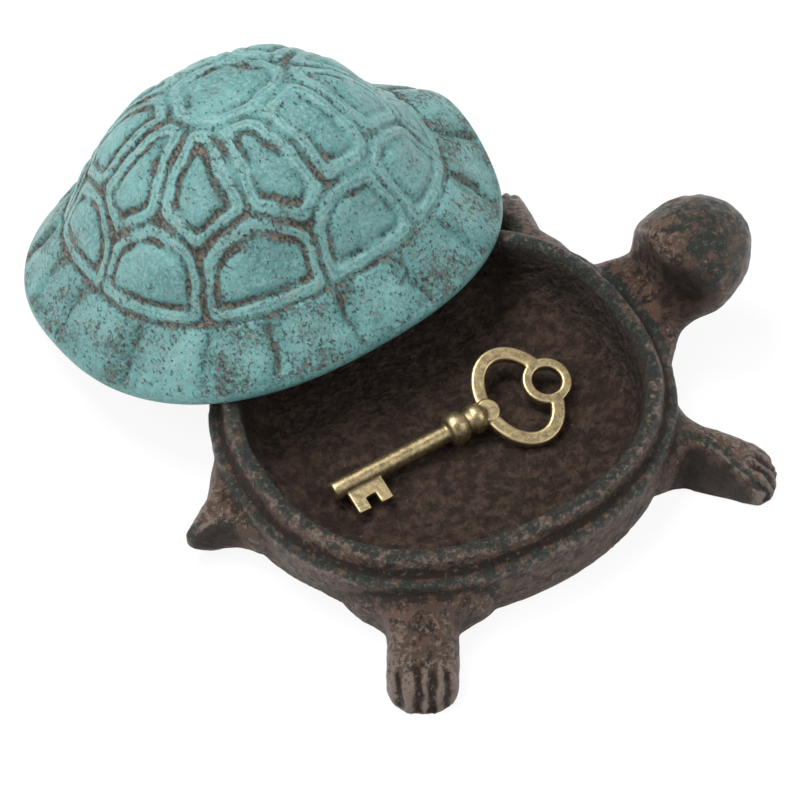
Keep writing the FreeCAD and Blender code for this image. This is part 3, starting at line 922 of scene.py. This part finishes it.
def paintPlaces(spot, normal, hollow):
    # How far a place is in the bowl, brushed green along the edges, or darkened with painted shade
    offset = trayOffset(spot)
    bowl = (1 - between(offset, -0.9, 0.5)) * between(spot.z, 2.5, 4.0)
    crest = between(offset, -0.9, -0.1) * (1 - between(offset, 3.0, 4.8)) * between(spot.z, 18.0, 20.0)
    crest *= 1 - 0.3 * between(offset, 0.5, 1.6)
    rimLine = hump(offset, tray["ledgeEdge"] - 0.6, 2.8) * hump(spot.z, tray["ledgeHeight"] - 0.2, 2.6)
    top = between(spot.x, 60, 67) * between(spot.z, 24, 32) * 0.66
    green = max(crest, rimLine * 0.85, top)
    # Painted shade lies in the hollow behind the head, up the bowl's wall, behind the crests and under the
    # tail
    shade = (1 - between((spot - hollow).length, 6.5, 11.0)) * 0.75
    shade = max(shade, 0.85 * bowl * between(spot.z, 6, 13))
    for leg in legs["front"]:
        out, side = legPlace(leg, spot)
        if 0 < out < leg["reach"] and abs(side) < 9:
            hind = side * leg["facet"]
            crestSide = legCrest(leg, out, legWidth(leg, out))
            green = max(green, hump(hind, crestSide - 0.8, 2.2) * between(normal.z, 0.3, 0.7) * 0.9)
            behind = between(hind, crestSide + 0.4, crestSide + 2.0) * between(out, 2, 5)
            shade = max(shade, behind * (1 - between(out, leg["reach"] - 6, leg["reach"] - 3)))
    rear = hump(spot.x, -wallX - 13.5, 5.5) * between(normal.z, 0.1, 0.6) * hump(spot.y, -1, 5)
    green = max(green, rear)
    # Painted shade on the tail's steep lower flanks
    flank = between(-wallX - spot.x, 1, 5) * (1 - between(normal.z, 0.35, 0.6)) * between(spot.z, 2, 6)
    shade = max(shade, 0.8 * flank)
    return bowl, green, shade


# Key
key = {
    "shank": 32.4, "shankRadius": 2.3, "collar": 4.15, "collarWidth": 4.8, "neckRadius": 2.7, "gap": 1.2,
    "bowMiddle": 52.6, "bowLength": 10.6, "bowWidth": 13.9, "bowGap": 0.42, "bar": 3.55, "bandRound": 0.16,
    "ringMiddle": 61.04, "ringHole": 3.65, "ringWall": 2.5, "thickness": 2.4, "boss": 3.0, "bossProud": 0.4,
    "bitStart": 2.8, "bitLength": 9.4, "bitReach": 8.1, "bitThickness": 1.8, "bitRound": 0.2,
    "notchWidth": 2.7, "notchDepth": 2.9, "secondCollar": 0.75,
    "tipX": -33.9, "aside": -6.4, "up": 8.4, "turn": 2.7, "roll": 12.2547,
    "voxel": 0.24 * mm, "reliefPasses": 10, "reliefDepth": 0.10 * mm,
}


def keyShank():
    # Section of the shank, its tip and its two collars, spun about its own line
    r = key["shankRadius"]
    start = key["shank"]
    second = start + key["collarWidth"] + key["gap"]
    narrow = key["collarWidth"] * key["secondCollar"]
    end = second + narrow
    n = key["neckRadius"]
    c = key["collar"]
    section = [(0, 0), (0, r * 0.72), (0.25, r * 0.94), (0.8, r), (start - 0.3, r), (start, n)]
    for begin, width, top in ((start, key["collarWidth"], c), (second, narrow, c * 0.92)):
        for number in range(1, 8):
            turn = math.pi * number / 8
            section.append((begin + width * (1 - math.cos(turn)) / 2, n + (top - n) * math.sin(turn) ** 0.8))
        section.append((begin + width + 0.2, n * 0.98))
    section += [(end + 1.2, key["thickness"] * 0.75), (end + 1.5, 0)]
    return spun([(x, radius, 0) for x, radius in section], 48, (1, 0, 0))


def keyBand(middle, halfLength, halfWidth, bar, halfThickness, gap=0.0):
    # A band with round corners, spun thin on a unit circle and then bent to the oval, open at its far end
    form = bmesh.new()
    squeeze, stretch = 0.001, 1000
    corner = bar * key["bandRound"]
    section = []
    for sideX, sideZ in ((1, 1), (-1, 1), (-1, -1), (1, -1)):
        for turn in ((0, 45, 90) if sideX * sideZ > 0 else (90, 45, 0)):
            x = sideX * (bar / 2 - corner + corner * math.cos(math.radians(turn)))
            z = sideZ * (halfThickness - corner + corner * math.sin(math.radians(turn)))
            section.append((x, z))
    verts = []
    for across, z in section:
        reach = 1 + across * squeeze
        verts.append(form.verts.new((reach * math.cos(gap), reach * math.sin(gap), z)))
    edges = [form.edges.new(pair) for pair in zip(verts, verts[1:] + verts[:1])]
    bmesh.ops.spin(form, geom=verts + edges, cent=(0, 0, 0), axis=(0, 0, 1), angle=2 * (math.pi - gap),
                   steps=96, use_merge=gap == 0, use_duplicate=False)
    bmesh.ops.holes_fill(form, edges=form.edges, sides=0)
    for vert in form.verts:
        turn = math.atan2(vert.co.y, vert.co.x)
        side = (math.hypot(vert.co.x, vert.co.y) - 1) * stretch
        out = Vector((math.cos(turn) / halfLength, math.sin(turn) / halfWidth, 0)).normalized()
        line = Vector(((halfLength - bar / 2) * math.cos(turn), (halfWidth - bar / 2) * math.sin(turn), 0))
        vert.co = Vector((middle, 0, vert.co.z)) + line + out * side
    faceOut(form)
    return form


def keyBlock(low, high):
    form = bmesh.new()
    bmesh.ops.create_cube(form, size=1)
    size = Vector(high) - Vector(low)
    bmesh.ops.scale(form, vec=size, verts=form.verts)
    bmesh.ops.translate(form, vec=(Vector(low) + Vector(high)) / 2, verts=form.verts)
    rounded(form, form.edges, key["bitRound"])
    return form


def keyBoss(middle, radius, halfThickness):
    form = bmesh.new()
    bmesh.ops.create_cone(form, cap_ends=True, segments=48, radius1=radius, radius2=radius,
                          depth=halfThickness * 2)
    rims = [edge for edge in form.edges if abs(edge.verts[0].co.z - edge.verts[1].co.z) < 1e-6]
    rounded(form, rims, key["bossProud"])
    bmesh.ops.translate(form, vec=(middle, 0, 0), verts=form.verts)
    return form


def keyForm():
    half = key["thickness"] / 2
    bitEnd = key["bitStart"] + key["bitLength"]
    notch = key["bitStart"] + (key["bitLength"] - key["notchWidth"]) / 2
    thin = key["bitThickness"] / 2
    ring = key["ringHole"] + key["ringWall"]
    forms = [
        keyShank(),
        keyBand(key["bowMiddle"], key["bowLength"], key["bowWidth"], key["bar"], half, key["bowGap"]),
        keyBand(key["ringMiddle"], ring, ring, key["ringWall"], half),
        keyBoss(key["bowMiddle"] - key["bowLength"] + key["bar"] / 2, key["boss"], half + key["bossProud"]),
        keyBlock((key["bitStart"], -key["bitReach"] + key["notchDepth"], -thin), (bitEnd, 0, thin)),
        keyBlock((key["bitStart"], -key["bitReach"], -thin), (notch, -2, thin)),
        keyBlock((notch + key["notchWidth"], -key["bitReach"], -thin), (bitEnd, -2, thin)),
    ]
    whole = joinForms(forms)
    place = Matrix.Translation((key["tipX"], key["aside"], key["up"]))
    place = place @ Matrix.Rotation(math.radians(key["turn"]), 4, "Z")
    place = place @ Matrix.Rotation(math.radians(key["roll"]), 4, "X")
    bmesh.ops.transform(whole, matrix=Matrix.Scale(mm, 4) @ place, verts=whole.verts)
    made = recast(whole, key["voxel"], 1)
    storeRelief(made, key["reliefPasses"], key["reliefDepth"])
    return made


# Floor, light and camera
studio = {
    "floor": (0.93, 0.93, 0.93), "floorSize": 6.0, "floorGlow": 0.9, "world": 0.50,
    # Place, size and power
    "lamps": {"topLight": ((-0.12, 0.38, 0.85), 0.45, 8.0), "rightLight": ((0.55, -0.45, 0.60), 0.5, 2.2),
              "leftLight": ((-0.60, 0.05, 0.75), 0.4, 3.0)},
    "target": (-8.61 * mm, 5.82 * mm, 13.8 * mm), "distance": 0.598, "bearing": -119.446, "rise": 53.826,
    "lens": 112.31, "sensor": 36, "clip": (0.01, 20),
}


def studioFloor():
    form = bmesh.new()
    bmesh.ops.create_grid(form, x_segments=2, y_segments=2, size=studio["floorSize"] / 2)
    mesh = bpy.data.meshes.new("studioFloor")
    form.to_mesh(mesh)
    form.free()
    floor = bpy.data.objects.new("studioFloor", mesh)
    bpy.context.scene.collection.objects.link(floor)
    f = Finish("floorPaper")
    matte = f.node("BsdfDiffuse", {}, {"Color": (*studio["floor"], 1)})
    glow = f.node("Emission", {}, {"Color": (1, 1, 1, 1), "Strength": 1.0})
    seen = f.node("LightPath", output="Is Camera Ray")
    both = f.node("MixShader", {}, {0: seen * studio["floorGlow"], 1: matte, 2: glow})
    f.node("OutputMaterial", {}, {"Surface": both})
    mesh.materials.append(f.material)


def softLight(name, place, size, power):
    lamp = bpy.data.lights.new(name, "AREA")
    lamp.shape = "DISK"
    lamp.size = size
    lamp.energy = power
    lamp.use_shadow = True
    holder = bpy.data.objects.new(name, lamp)
    holder.location = place
    holder.rotation_mode = "QUATERNION"
    holder.rotation_quaternion = (-Vector(place)).to_track_quat("-Z", "Y")
    bpy.context.scene.collection.objects.link(holder)


def studioLight():
    world = bpy.data.worlds.new("studioWorld")
    bpy.context.scene.world = world
    world.use_nodes = True
    world.node_tree.nodes["Background"].inputs["Color"].default_value = (1, 1, 1, 1)
    world.node_tree.nodes["Background"].inputs["Strength"].default_value = studio["world"]
    for name, (place, size, power) in studio["lamps"].items():
        softLight(name, place, size, power)


def studioCamera():
    bearing = math.radians(studio["bearing"])
    rise = math.radians(studio["rise"])
    # Way from the target back to the camera, and the picture's right and up
    back = Vector((math.cos(rise) * math.cos(bearing), math.cos(rise) * math.sin(bearing), math.sin(rise)))
    right = Vector((-math.sin(bearing), math.cos(bearing), 0))
    up = back.cross(right)
    lens = bpy.data.cameras.new("studioCamera")
    lens.lens = studio["lens"]
    lens.sensor_width = studio["sensor"]
    lens.clip_start, lens.clip_end = studio["clip"]
    camera = bpy.data.objects.new("studioCamera", lens)
    facing = Matrix((right, up, back)).transposed().to_4x4()
    camera.matrix_world = Matrix.Translation(Vector(studio["target"]) + back * studio["distance"]) @ facing
    bpy.context.scene.collection.objects.link(camera)
    bpy.context.scene.camera = camera


studioCamera()
studioLight()
studioFloor()
print("studio ready")
addPiece("shellLid", castShell(), verdigrisFinish(), "lid", "shell_lid")
print("shell cast")
addPiece("baseCasting", castBase(), ironFinish(), "body", "base_casting")
print("base cast")
addPiece("skeletonKey", keyForm(), brassFinish(), "key", "skeleton_key")
print("key cut")

bpy.context.scene.view_settings.view_transform = "Standard"
bpy.context.view_layer.update()
